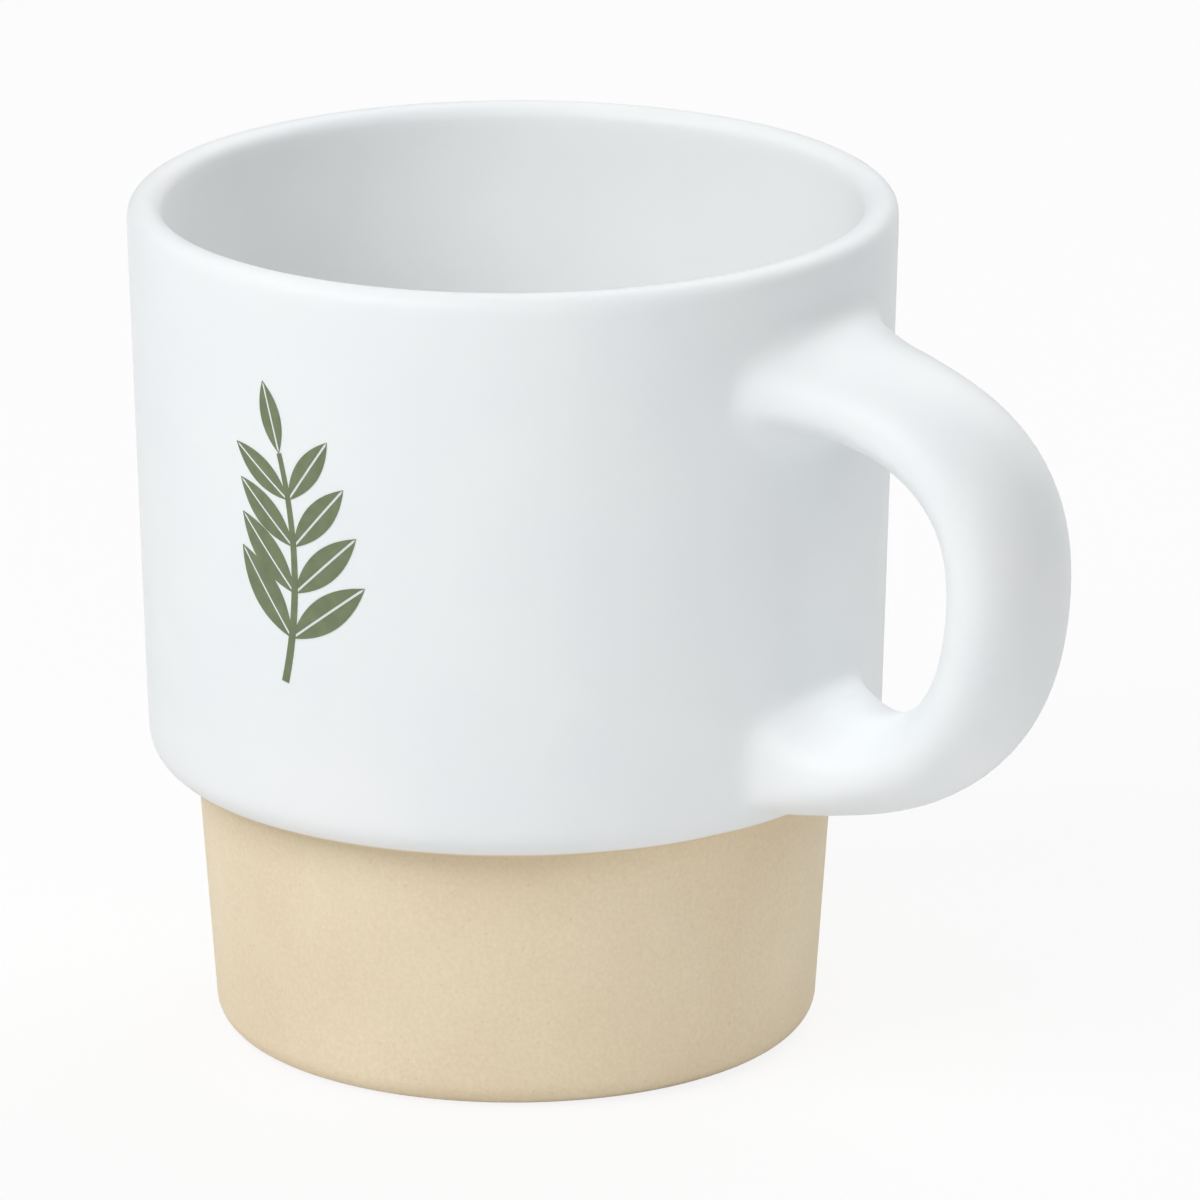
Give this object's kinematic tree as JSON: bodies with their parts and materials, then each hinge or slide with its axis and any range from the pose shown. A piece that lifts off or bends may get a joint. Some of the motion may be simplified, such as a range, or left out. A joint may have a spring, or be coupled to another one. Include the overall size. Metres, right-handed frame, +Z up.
{
  "type": "stoneware mug",
  "caption": "Stackable stoneware mug: a white matt glazed cup with a rounded lip and an oval C handle on a narrower, tapered, bare clay base with a foot ring.",
  "frame": {"origin": "on the mug's axis, at the plane of the foot ring that it stands on", "axes": "+Z up along the mug's axis, +X towards the middle of the handle's back, the printed side faces -Y"},
  "size_m": [0.1101, 0.082, 0.0915],
  "materials": {
    "bare_stoneware": "unglazed, fine sandy matt clay",
    "handle_clay": "unglazed clay under the glaze",
    "luting_clay": "wiped clay slip under the glaze",
    "white_glaze": "smooth satin matt white glaze",
    "olive_print": "matt olive green fired print"
  },
  "bodies": {
    "root": {"stoneware_body": "bare_stoneware", "handle": "handle_clay", "upper_luting_clay": "luting_clay", "lower_luting_clay": "luting_clay", "glaze_coat": "white_glaze", "printed_sprig": "olive_print"}
  },
  "joints": []
}
